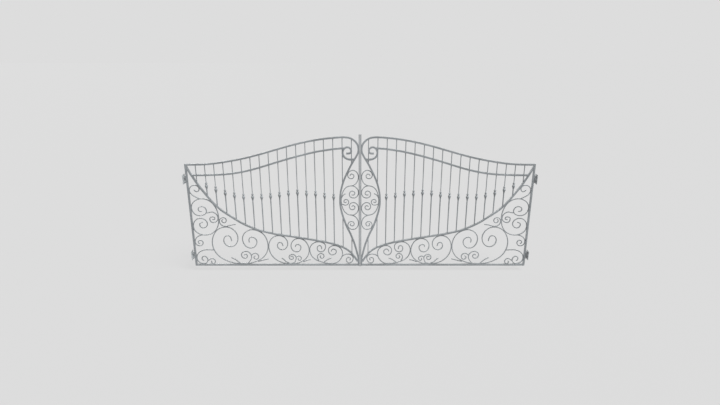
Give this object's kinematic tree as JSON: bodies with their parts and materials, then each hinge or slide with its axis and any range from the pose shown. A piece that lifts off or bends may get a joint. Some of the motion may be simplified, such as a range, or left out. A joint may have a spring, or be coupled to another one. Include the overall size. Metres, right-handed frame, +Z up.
{
  "type": "gate",
  "caption": "Wrought iron drive gate with two leaves, a curved crest, turned pickets over a hanging swag rail and forged scrolls below, on wall plate hinges.",
  "frame": {"origin": "middle of the lower left wall plate's back face, where it meets the pillar, 139 mm over the gate's lower edge", "axes": "+X along the shut gate from the left pillar to the right one, +Y inwards from the street, the way the leaves open, +Z up"},
  "size_m": [4.068, 0.07, 1.618],
  "materials": {
    "ironwork": "satin",
    "hinge_steel": "worn"
  },
  "bodies": {
    "pillars": {"left_wall_plates": "ironwork", "left_hinge_pins": "hinge_steel", "right_wall_plates": "ironwork", "right_hinge_pins": "hinge_steel"},
    "left_leaf": {"left_hinge_stile": "ironwork", "left_bottom_rail": "ironwork", "left_meeting_bar": "ironwork", "left_top_rail": "ironwork", "left_bow_bar": "ironwork", "left_second_rail": "ironwork", "left_swag_rail": "ironwork", "left_upper_pickets": "ironwork", "left_lower_pickets": "ironwork", "left_side_scrolls": "ironwork", "left_large_scroll": "ironwork", "left_middle_scroll": "ironwork", "left_small_scroll": "ironwork", "left_bow_scrolls": "ironwork", "left_hinge_eyes": "ironwork"},
    "right_leaf": {"right_hinge_stile": "ironwork", "right_bottom_rail": "ironwork", "right_meeting_bar": "ironwork", "right_top_rail": "ironwork", "right_bow_bar": "ironwork", "right_second_rail": "ironwork", "right_swag_rail": "ironwork", "right_upper_pickets": "ironwork", "right_lower_pickets": "ironwork", "right_side_scrolls": "ironwork", "right_large_scroll": "ironwork", "right_middle_scroll": "ironwork", "right_small_scroll": "ironwork", "right_bow_scrolls": "ironwork", "right_hinge_eyes": "ironwork"}
  },
  "joints": [
    {"name": "left_leaf_swing", "type": "hinge", "parent": "pillars", "child": "left_leaf", "pos_m": [0.02, 0, 0], "axis": [0, 0, 1], "range_deg": [0, 90]},
    {"name": "right_leaf_swing", "type": "hinge", "parent": "pillars", "child": "right_leaf", "pos_m": [4.048, 0, 0], "axis": [0, 0, -1], "range_deg": [0, 90]}
  ]
}
